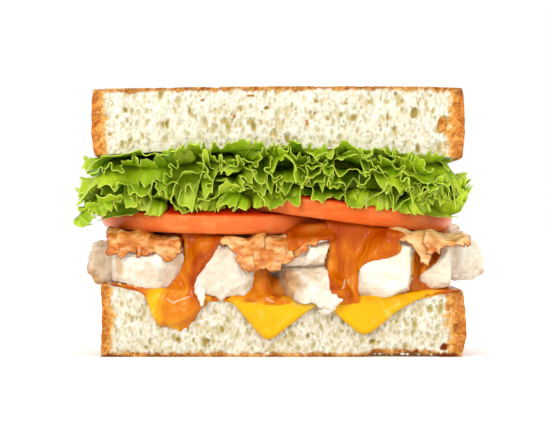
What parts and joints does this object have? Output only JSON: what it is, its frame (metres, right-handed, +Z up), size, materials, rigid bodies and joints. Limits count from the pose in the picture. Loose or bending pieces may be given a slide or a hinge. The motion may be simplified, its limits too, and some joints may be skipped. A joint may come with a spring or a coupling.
{
  "type": "half of a chicken and bacon sandwich",
  "caption": "Half of a thick filled sandwich on white bread: curly lettuce, tomato, bacon, chicken chunks, orange sauce and melted cheese, standing on its lower slice.",
  "frame": {"origin": "middle of the lower slice's flat underside, halfway between the cut front face and the crusted back", "axes": "+X to the right as seen from the cut face, +Y from the cut front face to the crusted back, +Z up"},
  "size_m": [0.1409, 0.1008, 0.0874],
  "materials": {
    "bread": "cut white crumb, cream-white with open cells, and toasted brown crust",
    "cheese": "melted yellow-orange cheese, glossy",
    "chicken": "cooked breast meat, moist, off-white with tan edges",
    "sauce": "thick orange sauce, wet",
    "bacon": "fried bacon, orange-brown with paler fat",
    "tomato": "fresh tomato, wet cut flesh and smooth skin",
    "lettuce": "fresh curly leaf, bright yellow-green"
  },
  "bodies": {
    "root": {"bread_bottom": "bread", "bread_top": "bread", "cheese_left": "cheese", "cheese_middle": "cheese", "cheese_right": "cheese", "tomato_left": "tomato", "tomato_right": "tomato", "bacon_left": "bacon", "bacon_middle": "bacon", "bacon_right": "bacon", "chicken_front_1": "chicken", "chicken_front_2": "chicken", "chicken_front_3": "chicken", "chicken_front_4": "chicken", "chicken_front_5": "chicken", "chicken_front_6": "chicken", "chicken_left": "chicken", "chicken_right": "chicken", "chicken_back_1": "chicken", "chicken_back_2": "chicken", "chicken_back_3": "chicken", "chicken_back_4": "chicken", "chicken_back_5": "chicken", "sauce_left": "sauce", "sauce_middle": "sauce", "sauce_right": "sauce", "lettuce_low": "lettuce", "lettuce_middle": "lettuce", "lettuce_high": "lettuce"}
  },
  "joints": []
}
